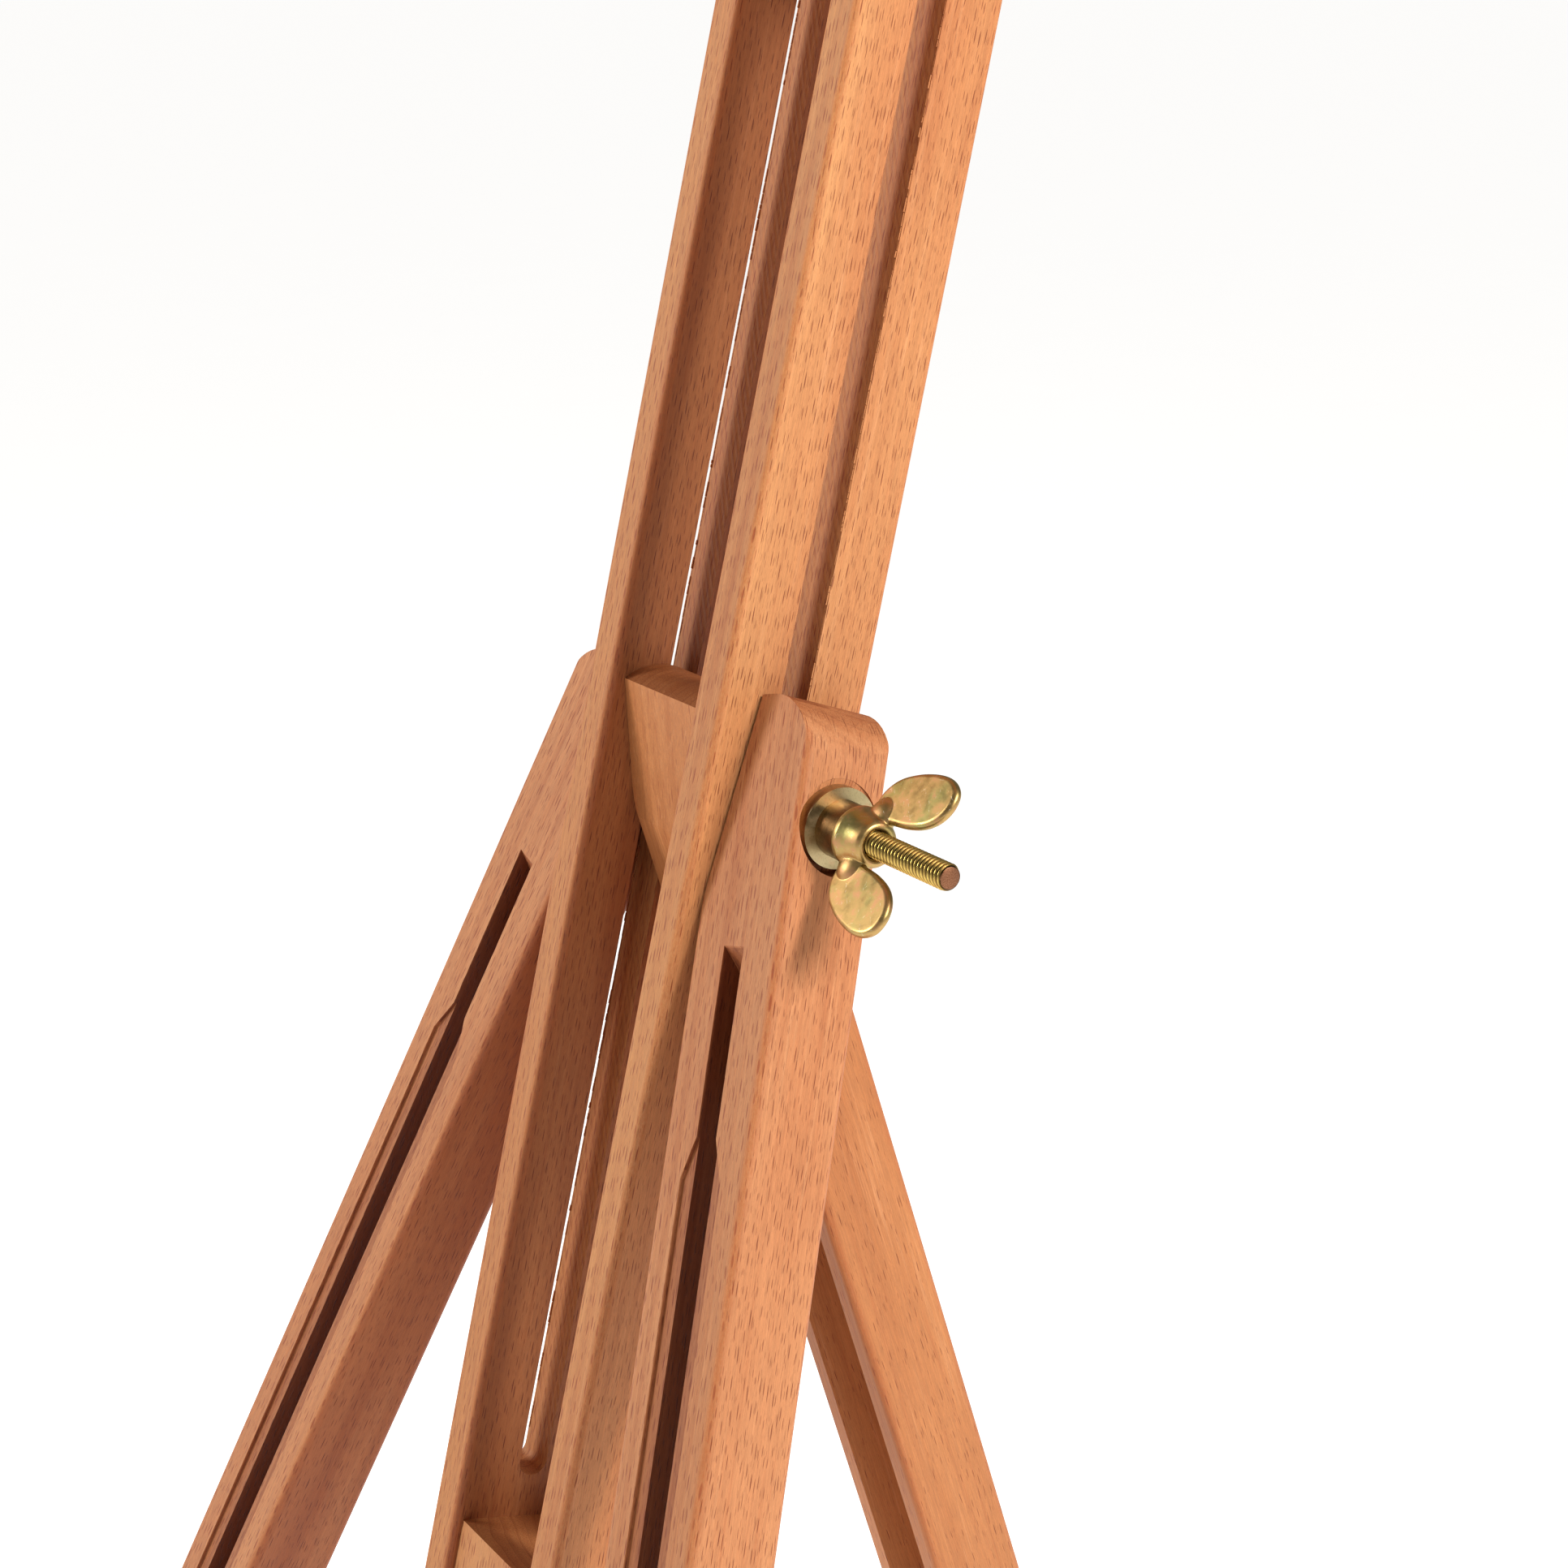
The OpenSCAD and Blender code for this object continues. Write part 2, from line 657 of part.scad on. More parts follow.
module slide_washers(z) {
    translate([0, 0, z]) for (s = [-1, 1]) rotate([0, s * 90, 0])
        translate([0, 0, rail_out + face_gap]) washer(washer_d, washer_t);
}

module slide_nut(z, turn) {
    translate([rail_out + 2 * face_gap + washer_t, 0, z]) rotate([turn, 0, 0])
        rotate([0, 90, 0]) wing_nut();
}

module ledge_tongue() { color(beech) at_mast() tongue(ledge_up, 1); }

module ledge_shelf() {
    color(beech) at_mast() translate([0, 0, ledge_up]) difference() {
        translate([0, ledge_front - ledge_deep / 2, -ledge_thick / 2])
            board_x(ledge_wide, ledge_deep, ledge_thick, 1.5);
        carriage_screws() screw_hole(36);
        lip_screws() screw_hole(30);
    }
}

module ledge_lip() {
    color(beech) at_mast() translate([0, 0, ledge_up]) difference() {
        translate([0, ledge_front - ledge_deep - lip_thick / 2,
            (lip_high - ledge_thick) / 2])
            board_x(ledge_wide, lip_thick, ledge_thick + lip_high, 2);
        lip_screws() screw_hole(30);
    }
}

module ledge_bolt() { color(zinc) at_mast() slide_bolt(ledge_up - tongue_tall / 2); }
module ledge_washers() { color(zinc) at_mast() slide_washers(ledge_up - tongue_tall / 2); }
module ledge_wing_nut() { color(zinc) at_mast() slide_nut(ledge_up - tongue_tall / 2, 25); }

module ledge_screws() {
    color(zinc) at_mast() translate([0, 0, ledge_up]) {
        carriage_screws() wood_screw(36);
        lip_screws() wood_screw(30);
    }
}

module top_tongue() { color(beech) at_mast() tongue(clamp_up, -1); }

module top_hook() {
    color(beech) at_mast() translate([0, 0, clamp_up]) mirror([0, 0, 1]) difference() {
        union() {
            translate([0, ledge_front - ledge_deep / 2, -ledge_thick / 2])
                board_x(hook_wide, ledge_deep, ledge_thick, 1.5);
            translate([0, ledge_front - ledge_deep + lip_thick / 2, lip_high / 2 - 3])
                board_x(hook_wide, lip_thick, lip_high + 6, 1.5);
        }
        carriage_screws() screw_hole(36);
    }
}

module top_bolt() { color(zinc) at_mast() slide_bolt(clamp_up + tongue_tall / 2); }
module top_washers() { color(zinc) at_mast() slide_washers(clamp_up + tongue_tall / 2); }
module top_wing_nut() { color(zinc) at_mast() slide_nut(clamp_up + tongue_tall / 2, 110); }

module top_screws() {
    color(zinc) at_mast() translate([0, 0, clamp_up]) mirror([0, 0, 1])
        carriage_screws() wood_screw(36);
}

rear_leg_upper();
head_bolt();
head_washers();
head_bush();
head_wing_nut();
rail_left();
rail_right();
mast_foot_block();
mast_top_block();
mast_screws();
left_leg_upper();
left_leg_lower();
left_clamp_bolt();
left_clamp_washers();
left_clamp_wing_nut();
left_foot();
right_leg_upper();
right_leg_lower();
right_clamp_bolt();
right_clamp_washers();
right_clamp_wing_nut();
right_foot();
rear_leg_lower();
rear_clamp_bolt();
rear_clamp_washers();
rear_clamp_wing_nut();
rear_foot();
ledge_tongue();
ledge_shelf();
ledge_lip();
ledge_bolt();
ledge_washers();
ledge_wing_nut();
ledge_screws();
top_tongue();
top_hook();
top_bolt();
top_washers();
top_wing_nut();
top_screws();
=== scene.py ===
import bpy, bmesh, math, json, random
from mathutils import Vector, Matrix


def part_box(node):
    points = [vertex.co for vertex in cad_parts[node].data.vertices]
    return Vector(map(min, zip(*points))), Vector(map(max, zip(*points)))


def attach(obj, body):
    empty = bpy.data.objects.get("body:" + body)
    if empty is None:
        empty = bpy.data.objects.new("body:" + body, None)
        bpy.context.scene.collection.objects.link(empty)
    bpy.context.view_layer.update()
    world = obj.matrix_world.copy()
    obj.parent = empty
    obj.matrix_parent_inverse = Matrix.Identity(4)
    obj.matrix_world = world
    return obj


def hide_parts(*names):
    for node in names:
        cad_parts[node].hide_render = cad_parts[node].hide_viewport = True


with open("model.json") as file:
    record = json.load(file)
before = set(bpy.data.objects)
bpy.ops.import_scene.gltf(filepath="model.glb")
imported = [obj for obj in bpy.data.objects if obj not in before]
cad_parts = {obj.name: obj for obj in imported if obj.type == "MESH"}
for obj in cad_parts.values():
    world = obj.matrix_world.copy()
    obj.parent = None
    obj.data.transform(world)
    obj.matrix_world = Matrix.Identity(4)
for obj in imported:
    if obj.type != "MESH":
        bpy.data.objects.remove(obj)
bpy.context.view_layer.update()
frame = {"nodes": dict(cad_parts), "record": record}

# Wooden artist easel. The boards are CAD nodes with a procedural beech. Bolts and wing nuts are
# replaced by threaded and forged pieces. Places come from the frame, in metres; a material works
# in millimetres along its board's own axes: x across, y through, z along the grain.
JOINTS = {j["name"]: j for j in frame["record"]["behaviour"]["joints"]}
BODIES = frame["record"]["behaviour"]["bodies"]
NODES = frame["nodes"]
HEAD = Vector(JOINTS["mast_tilt"]["pos_m"])  # middle of the head bolt
X = Vector((1, 0, 0))
LEG_X = 0.0292  # from the middle to a front leg's own origin, along the head bolt

# half of each board's section, and its middle, mm
RAIL_HALF, RAIL_MID = (7.4, 25), 31.6
LEG_HALF, LOWER_LEG_HALF, LOWER_LEG_Y = (21.5, 15.25), (21.5, 10), 25.55
REAR_HALF, REAR_MID = (23.9, 15.5), (0, -2.3)
REAR_LOWER_HALF, REAR_LOWER_MID = (14.2, 12), (0, -16.1)
RAIL_SLOT_HALF, LEG_SLOT_HALF = 5.0, 9.0  # reach of the cutter's marks from the slot's middle, and on a leg also of the painted shade on its walls, mm
RECESS_MORE = 2.0  # how much further the painted shade on the floor of a leg's recess reaches, mm

# hardware, m
BOLT_R = 0.00398
PITCH = 0.0016
THREAD_DEEP = 0.00080
BOLT_FLATS, BOLT_HEAD = 0.0129, 0.0052
NUT_HUB = 0.0107
WING_HALF = 0.00155
NUT_VOXEL = 0.00026


def axis_of(joint):
    return Vector(JOINTS[joint]["axis"]).normalized()


def board_axes(z):
    """axes of a board that lies in the easel's middle plane"""
    return Matrix((X, z.cross(X).normalized(), z)).transposed()


def leg_axes(side):
    """axes of a front leg: z along its slide, y along its clamp bolt"""
    z, y = axis_of(side + "_leg_slide"), axis_of(side + "_nut_spin")
    return Matrix((y.cross(z).normalized(), y, z)).transposed()


MAST = board_axes(axis_of("mast_slide"))
REAR = board_axes(axis_of("rear_leg_slide"))
LEG = {"left": leg_axes("left"), "right": leg_axes("right")}
LEG_ORIGIN = {"left": HEAD - X * LEG_X, "right": HEAD + X * LEG_X}


# ---------------------------------------------------------------- node helpers
class Nodes:
    """builds one material's node tree; values may be numbers, tuples or sockets"""

    def __init__(self, name):
        self.mat = bpy.data.materials.new(name)
        self.mat.use_nodes = True
        self.tree = self.mat.node_tree
        self.tree.nodes.clear()
        out = self.tree.nodes.new("ShaderNodeOutputMaterial")
        self.bsdf = self.tree.nodes.new("ShaderNodeBsdfPrincipled")
        self.tree.links.new(self.bsdf.outputs[0], out.inputs[0])

    def new(self, kind, **settings):
        n = self.tree.nodes.new(kind)
        for k, v in settings.items():
            setattr(n, k, v)
        return n

    def put(self, sock, v):
        if isinstance(v, bpy.types.NodeSocket):
            self.tree.links.new(v, sock)
        elif v is not None:
            sock.default_value = v

    def set(self, **values):
        """sets the shader's own sockets; an underscore stands for a space"""
        for k, v in values.items():
            self.put(self.bsdf.inputs[k.replace("_", " ")], v)

    def m(self, op, a, b=None, c=None):
        n = self.new("ShaderNodeMath", operation=op)
        for s, v in zip(n.inputs, (a, b, c)):
            self.put(s, v)
        return n.outputs[0]

    def v(self, op, a, b=None):
        n = self.new("ShaderNodeVectorMath", operation=op)
        self.put(n.inputs[0], a)
        if b is not None:
            self.put(n.inputs[1], b)
        return n.outputs["Value"] if op in ("LENGTH", "DOT_PRODUCT") else n.outputs[0]

    def sep(self, a):
        n = self.new("ShaderNodeSeparateXYZ")
        self.put(n.inputs[0], a)
        return n.outputs

    def comb(self, x, y, z):
        n = self.new("ShaderNodeCombineXYZ")
        for s, v in zip(n.inputs, (x, y, z)):
            self.put(s, v)
        return n.outputs[0]

    def noise(self, vec, scale=1.0, detail=2.0, rough=0.5, color=False):
        n = self.new("ShaderNodeTexNoise")
        self.put(n.inputs["Vector"], vec)
        n.inputs["Scale"].default_value = scale
        n.inputs["Detail"].default_value = detail
        n.inputs["Roughness"].default_value = rough
        return n.outputs["Color"] if color else n.outputs["Fac"]

    def noise1(self, w, detail, rough):
        n = self.new("ShaderNodeTexNoise", noise_dimensions="1D")
        self.put(n.inputs["W"], w)
        n.inputs["Scale"].default_value = 1.0
        n.inputs["Detail"].default_value = detail
        n.inputs["Roughness"].default_value = rough
        return n.outputs["Fac"]

    def voronoi(self, x, y):
        n = self.new("ShaderNodeTexVoronoi", feature="F1", voronoi_dimensions="2D")
        self.put(n.inputs["Vector"], self.comb(x, y, 0.0))
        n.inputs["Scale"].default_value = 1.0
        return n.outputs["Distance"]

    def step(self, v, a, b, lo=0.0, hi=1.0, smooth=True):
        n = self.new("ShaderNodeMapRange", interpolation_type="SMOOTHSTEP" if smooth else "LINEAR")
        for name, value in zip(("Value", "From Min", "From Max", "To Min", "To Max"), (v, a, b, lo, hi)):
            self.put(n.inputs[name], value)
        return n.outputs["Result"]

    def mix(self, a, b, f, mode="MIX"):
        n = self.new("ShaderNodeMix", data_type="RGBA", blend_type=mode)
        self.put(n.inputs["Factor"], f)
        self.put(n.inputs[6], a)
        self.put(n.inputs[7], b)
        return n.outputs[2]

    def tint(self, col, by, share):
        """col multiplied by a colour, where share is 1"""
        return self.mix(col, self.mix(col, (*by, 1), 1.0, "MULTIPLY"), share)

    def shade(self, col, by):
        """col multiplied by a grey value"""
        return self.mix(col, self.comb(by, by, by), 1.0, "MULTIPLY")

    def bump(self, height, strength, distance):
        n = self.new("ShaderNodeBump")
        n.inputs["Strength"].default_value = strength
        n.inputs["Distance"].default_value = distance
        self.put(n.inputs["Height"], height)
        self.tree.links.new(n.outputs[0], self.bsdf.inputs["Normal"])

    def board(self, origin=(0, 0, 0), rot=Matrix.Identity(3)):
        """board coordinates in millimetres, and the normal in the board's own axes"""
        coords = self.new("ShaderNodeTexCoord")
        place = self.new("ShaderNodeMapping", vector_type="TEXTURE")
        place.inputs["Location"].default_value = origin
        place.inputs["Rotation"].default_value = rot.to_euler("XYZ")
        place.inputs["Scale"].default_value = (0.001, 0.001, 0.001)
        self.tree.links.new(coords.outputs["Object"], place.inputs[0])
        turn = self.new("ShaderNodeMapping", vector_type="TEXTURE")
        turn.inputs["Rotation"].default_value = rot.to_euler("XYZ")
        self.tree.links.new(coords.outputs["Normal"], turn.inputs[0])
        return place.outputs[0], turn.outputs[0]


def lin(*rgb):
    """a colour written as 0 to 255 in sRGB, as the linear values a shader takes"""
    return tuple(c / 3294.6 if c <= 10.31475 else ((c / 255 + 0.055) / 1.055) ** 2.4 for c in rgb) + (1.0,)


# ---------------------------------------------------------------- beech
# light and dark colour of each kind of board
TONES = {
    "mast": (lin(204, 142, 90), lin(184, 116, 70)),
    "leg": (lin(203, 138, 92), lin(184, 114, 70)),
    "pale": (lin(193, 126, 76), lin(175, 107, 60)),
}


def pores(b, across, along, width, length, amount, wide):
    """short pore lines in columns, each column shifted by its own amount"""
    u = b.m("DIVIDE", across, width)
    column = b.m("FLOOR", u)
    shift = b.new("ShaderNodeTexWhiteNoise", noise_dimensions="1D")
    b.put(shift.inputs["W"], column)
    v = b.m("ADD", b.m("DIVIDE", along, length), b.m("MULTIPLY", shift.outputs["Value"], 17.0))
    cell = b.new("ShaderNodeTexWhiteNoise", noise_dimensions="2D")
    b.put(cell.inputs["Vector"], b.comb(column, b.m("FLOOR", v), 0.0))
    rnd = b.sep(cell.outputs["Color"])
    half_wide = b.m("MULTIPLY_ADD", rnd[0], wide, wide)
    half_long = b.m("MULTIPLY_ADD", rnd[1], 0.22, 0.13)
    middle = b.m("MULTIPLY_ADD", rnd[2], 0.4, 0.3)
    du = b.m("DIVIDE", b.m("SUBTRACT", b.m("FRACT", u), middle), half_wide)
    dv = b.m("DIVIDE", b.m("SUBTRACT", b.m("FRACT", v), 0.5), half_long)
    away = b.m("ADD", b.m("MULTIPLY", du, du), b.m("MULTIPLY", dv, dv))
    keep = b.m("LESS_THAN", cell.outputs["Value"], amount)
    line = b.m("MULTIPLY", b.step(away, 0.35, 1.0, 1.0, 0.0), keep)
    return b.m("MULTIPLY", line, b.m("MULTIPLY_ADD", rnd[1], 0.5, 0.5))


def two_pores(b, across, along, large, small, offset, where):
    """large pores with fainter small ones between them"""
    faint = b.m("MULTIPLY", pores(b, b.m("ADD", across, offset), along, *small), 0.6)
    return b.m("MULTIPLY", b.m("MAXIMUM", pores(b, across, along, *large), faint), where)


def cutter_marks_and_shade(b, col, height, s, slot, half, side, face, drift, streak):
    """walls of a slot keep the cutter's marks, and on a front leg they also get painted shade; slot =
    (axis, middle, half width)
    """
    axis, middle, reach = slot
    off = b.m("ABSOLUTE", b.m("SUBTRACT", s[axis], middle))
    inside = b.m("LESS_THAN", off, reach)
    inside = b.m("MULTIPLY", inside, b.step(face if axis == 1 else side, 0.4, 0.6))
    saw = b.m("MULTIPLY_ADD", s[1 - axis], 0.9, b.m("MULTIPLY", s[2], 0.55))
    saw = b.m("SINE", b.m("ADD", b.m("MULTIPLY", saw, 2.2), b.m("MULTIPLY", drift, 9.0)))
    saw = b.m("MULTIPLY", b.m("MULTIPLY", saw, inside), b.step(streak, 0.3, 0.6, 0.3, 1.0))
    if axis == 0:
        # a front leg: painted shade on the slot's dark walls, and on the darker floor of the shallow
        # recess
        saw = b.m("MULTIPLY", saw, 0.2)
        # painted shade: the slot's walls are darkened
        col = b.tint(col, (0.62, 0.48, 0.40), inside)
        below_front = b.step(s[1], -half[1] + 0.15, -half[1] + 0.7)
        sunk = b.m("MULTIPLY", b.m("LESS_THAN", off, reach + RECESS_MORE), below_front)
        sunk = b.m("MULTIPLY", sunk, b.step(s[1], 0.0, -3.0))
        # painted shade: the floor of the shallow recess is darkened
        col = b.tint(col, (0.66, 0.52, 0.44), b.m("MULTIPLY", sunk, b.step(streak, 0.3, 0.7, 0.7, 1.0)))
    col = b.mix(col, lin(150, 78, 44), b.m("MULTIPLY", b.step(saw, 0.1, 1.0), 0.35))
    return col, b.m("ADD", height, b.m("MULTIPLY", saw, 0.5))


def wood(name, origin, rot, tone, seed, ring, half=None, mid=(0, 0), slot=None, dash=1.0,
         along_x=False, inward=0):
    """Beech with its grain along the board's z. ring = (x, y) of the pith and the ring spacing, mm.
    half and mid place the arrises, dash scales the number of pores, and inward is the sign of x
    towards the gap between the boards; the sides that face it get a painted shade."""
    b = Nodes(name)
    p, normal = b.board(origin, rot)
    if along_x:
        s = b.sep(p)
        p = b.comb(s[2], s[1], s[0])
        s = b.sep(normal)
        normal = b.comb(s[2], s[1], s[0])
    q = b.v("ADD", p, (seed * 37.1, seed * 21.7, seed * 113.0))

    def stretched(*scale):
        return b.v("MULTIPLY", q, scale)

    # growth rings round the pith, bent a little
    warp = b.noise(stretched(0.03, 0.03, 0.008), color=True)
    warp = b.v("MULTIPLY", b.v("SUBTRACT", warp, (0.5, 0.5, 0.5)), (7.0, 7.0, 0.0))
    from_pith = b.v("SUBTRACT", b.v("ADD", p, warp), (ring[0], ring[1], 0.0))
    r = b.v("LENGTH", b.v("MULTIPLY", from_pith, (1, 1, 0.012)))
    band = b.noise1(b.m("MULTIPLY", r, 0.42 / ring[2] * 2.2), 2.0, 0.55)
    phase = b.m("FRACT", b.m("ADD", b.m("DIVIDE", r, ring[2]), b.m("MULTIPLY", band, 0.8)))
    line = b.m("POWER", phase, 5.0)

    # which way the surface looks: a side, the face or the end grain
    n = b.sep(normal)
    side = b.step(b.m("ABSOLUTE", n[0]), 0.45, 0.8)
    face = b.step(b.m("ABSOLUTE", n[1]), 0.45, 0.8)
    end = b.step(b.m("ABSOLUTE", n[2]), 0.5, 0.8)

    # slow drift, growth bands and fibres
    drift = b.noise(stretched(0.05, 0.05, 0.005))
    streak = b.noise(stretched(0.55, 0.55, 0.012), 1.0, 3.0, 0.6)
    fibre = b.noise(stretched(2.6, 2.6, 0.11), 1.0, 3.0, 0.65)
    fine = b.noise(stretched(6.0, 6.0, 0.8), 1.0, 2.0, 0.6)
    slow = b.m("ADD", b.m("MULTIPLY", b.step(band, 0.3, 0.7), 0.45),
               b.m("MULTIPLY", b.step(drift, 0.3, 0.7), 0.55))
    col = b.mix(*TONES[tone], slow)
    col = b.mix(col, lin(160, 84, 46), b.m("MULTIPLY", b.step(streak, 0.52, 0.78), 0.36))
    col = b.mix(col, lin(222, 160, 112), b.m("MULTIPLY", b.step(streak, 0.46, 0.24), 0.35))
    col = b.mix(col, lin(142, 74, 40), b.m("MULTIPLY", line, b.m("ADD", b.m("MULTIPLY", end, 0.35), 0.16)))
    col = b.shade(col, b.step(fibre, 0.25, 0.75, 0.80, 1.15, smooth=False))
    col = b.shade(col, b.step(fine, 0.25, 0.75, 0.90, 1.08, smooth=False))

    # beech's pores: fine dark lines on the sides, wider ones on the face, dots on the end grain
    wobble = b.v("SUBTRACT", b.noise(stretched(0.06, 0.06, 0.02), 1.0, 1.0, color=True), (0.5, 0.5, 0.5))
    w = b.sep(b.v("ADD", q, b.v("MULTIPLY", wobble, (2.5, 2.5, 0.0))))
    on_side = two_pores(b, w[1], w[2], (1.15, 8.6, 0.85 * dash, 0.095),
                        (0.8, 4.6, 0.5 * dash, 0.09), 31.3, side)
    on_face = two_pores(b, w[0], w[2], (1.7, 9.0, 0.85 * dash, 0.12),
                        (1.0, 4.8, 0.55 * dash, 0.12), 17.9, face)
    dots = b.voronoi(b.m("DIVIDE", w[0], 0.8), b.m("DIVIDE", w[1], 0.8))
    on_end = b.m("MULTIPLY", b.step(dots, 0.12, 0.3, 1.0, 0.0), end)
    col = b.mix(col, lin(112, 44, 18), b.m("MULTIPLY", on_side, 0.9))
    col = b.mix(col, lin(140, 66, 40), b.m("MULTIPLY", on_face, 0.85))
    col = b.mix(col, lin(122, 60, 32), b.m("MULTIPLY", on_end, 0.45))
    col = b.tint(col, (1.0, 0.985, 0.93), face)
    if inward:
        # painted shade: the sides towards the gap are darker and redder, as if in the shade between the
        # boards
        gap_shade = b.m("MULTIPLY", b.step(b.m("MULTIPLY", n[0], inward), 0.3, 0.8),
                  b.step(drift, 0.25, 0.75, 0.75, 1.0))
        col = b.tint(col, (0.60, 0.44, 0.36), gap_shade)
    # end grain takes more oil
    col = b.tint(col, (0.80, 0.70, 0.62), b.m("MULTIPLY", end, 0.8))
    height = b.m("ADD", b.m("MULTIPLY", fibre, 0.35), b.m("MULTIPLY", fine, 0.25))
    pits = b.m("ADD", on_side, b.m("MULTIPLY", on_face, 0.5))
    height = b.m("SUBTRACT", height, b.m("MULTIPLY", pits, 0.9))
    s = b.sep(p)
    if half:
        # worn, fuzzy arrises
        ex, ey = (b.m("SUBTRACT", half[i], b.m("ABSOLUTE", b.m("SUBTRACT", s[i], mid[i]))) for i in (0, 1))
        edge = b.m("MULTIPLY", b.step(ex, 3.2, 1.2), b.step(ey, 3.2, 1.2))
        fuzz = b.noise(stretched(2.2, 2.2, 0.9), 1.0, 3.0, 0.7)
        col = b.mix(col, lin(184, 92, 44), b.m("MULTIPLY", edge, b.step(fuzz, 0.35, 0.7, 0.10, 0.45)))
        height = b.m("ADD", height, b.m("MULTIPLY", b.m("MULTIPLY", edge, fuzz), 0.8))
    if slot:
        col, height = cutter_marks_and_shade(b, col, height, s, slot, half, side, face, drift, streak)
    b.bump(height, 0.55, 0.00022)
    b.set(Base_Color=col, Roughness=b.step(fibre, 0.2, 0.8, 0.50, 0.66, smooth=False), IOR=1.45,
          Specular_IOR_Level=0.38)
    return b.mat


# ---------------------------------------------------------------- metal and rubber
def metal(name, base, tint_a, tint_b, rough, scratch, smudge):
    """yellow zinc or bronze: two drifting tints, smudges and fine scratches"""
    b = Nodes(name)
    p, _ = b.board()
    n1 = b.noise(p, 0.11, 3.0, 0.55)
    n2 = b.noise(b.v("ADD", p, (31, 7, 3)), 0.27, 3.0, 0.6)
    n3 = b.noise(p, 1.7, 3.0, 0.65)
    col = b.mix(base, tint_a, b.step(n1, 0.42, 0.68))
    col = b.mix(col, tint_b, b.m("MULTIPLY", b.step(n2, 0.50, 0.72), 0.8))
    col = b.tint(col, (0.42, 0.36, 0.28), b.m("MULTIPLY", b.step(n3, 0.50, 0.75), smudge))
    bent = b.v("ADD", p, b.v("MULTIPLY", b.noise(p, 0.22, 2.0, 0.6, color=True), (3, 3, 3)))
    lines = 0.0
    for angle, density in ((0.5, 0.35), (1.25, 0.5), (2.3, 0.28)):
        d = b.v("DOT_PRODUCT", bent, (math.cos(angle) * 0.7, math.sin(angle) * 0.8, 0.5))
        off = b.m("ABSOLUTE", b.m("SUBTRACT", b.m("FRACT", b.m("MULTIPLY", d, density)), 0.5))
        patch = b.noise(b.v("ADD", p, (angle * 9, 0, 4)), 0.55, 3.0, 0.7)
        one = b.m("MULTIPLY", b.step(off, 0.0, 0.02, 1.0, 0.0), b.step(patch, 0.56, 0.66))
        lines = b.m("MAXIMUM", lines, one)
    lines = b.m("MULTIPLY", lines, scratch)
    col = b.mix(col, lin(236, 226, 206), lines)
    b.bump(b.m("SUBTRACT", b.m("MULTIPLY", n3, 0.35), b.m("MULTIPLY", lines, 0.6)), 0.25, 0.00008)
    duller = b.m("ADD", b.step(n2, 0.3, 0.7, rough * 0.8, rough * 1.25), b.m("MULTIPLY", lines, 0.25))
    b.set(Metallic=1.0, Base_Color=col, Roughness=duller)
    return b.mat


def thread(name, crest, valley_shade, shank):
    """threaded bolt in its own axes: bright crests, valleys darkened with painted shade, a dull brown end
    face
    """
    b = Nodes(name)
    p, normal = b.board()
    s = b.sep(p)
    r = b.v("LENGTH", b.comb(s[0], s[1], 0.0))
    n1 = b.noise(p, 0.5, 3.0, 0.6)
    n2 = b.noise(p, 4.0, 2.0, 0.6)
    col = b.mix(crest, shank, b.step(n1, 0.4, 0.7))
    # painted shade: the thread's valleys are darkened
    col = b.mix(col, valley_shade, b.step(r, BOLT_R * 1000 - 0.15, BOLT_R * 1000 - 0.65))
    cap = b.step(b.sep(normal)[2], 0.7, 0.95)
    col = b.mix(col, b.mix(lin(158, 112, 84), lin(116, 74, 52), b.step(n2, 0.35, 0.65)), cap)
    b.bump(n2, 0.2, 0.00005)
    b.set(Metallic=1.0, Base_Color=col,
          Roughness=b.m("MULTIPLY_ADD", cap, 0.3, b.step(n1, 0.3, 0.7, 0.22, 0.34)))
    return b.mat


def rubber(name):
    """black rubber with ribs, dusty near the floor"""
    b = Nodes(name)
    p, _ = b.board()
    n1 = b.noise(p, 0.12, 3.0, 0.6)
    n2 = b.noise(p, 3.0, 2.0, 0.6)
    col = b.mix(lin(30, 30, 32), lin(58, 56, 54), b.step(n1, 0.45, 0.75))
    z = b.sep(p)[2]
    dust = b.m("MULTIPLY", b.step(z, 9.0, 0.0), b.step(n1, 0.3, 0.7, 0.2, 0.8))
    col = b.mix(col, lin(120, 112, 102), b.m("MULTIPLY", dust, 0.5))
    rib = b.step(b.m("SINE", b.m("MULTIPLY", z, 2.1)), 0.2, 0.9)
    b.bump(b.m("ADD", b.m("MULTIPLY", n2, 0.4), b.m("MULTIPLY", rib, 0.6)), 0.5, 0.0004)
    b.set(Base_Color=col, Roughness=b.step(n1, 0.3, 0.7, 0.62, 0.8))
    return b.mat


def give(node, mat):
    o = NODES[node]
    if not o.material_slots:
        o.data.materials.append(mat)
    for s in o.material_slots:
        s.link = "OBJECT"
        s.material = mat


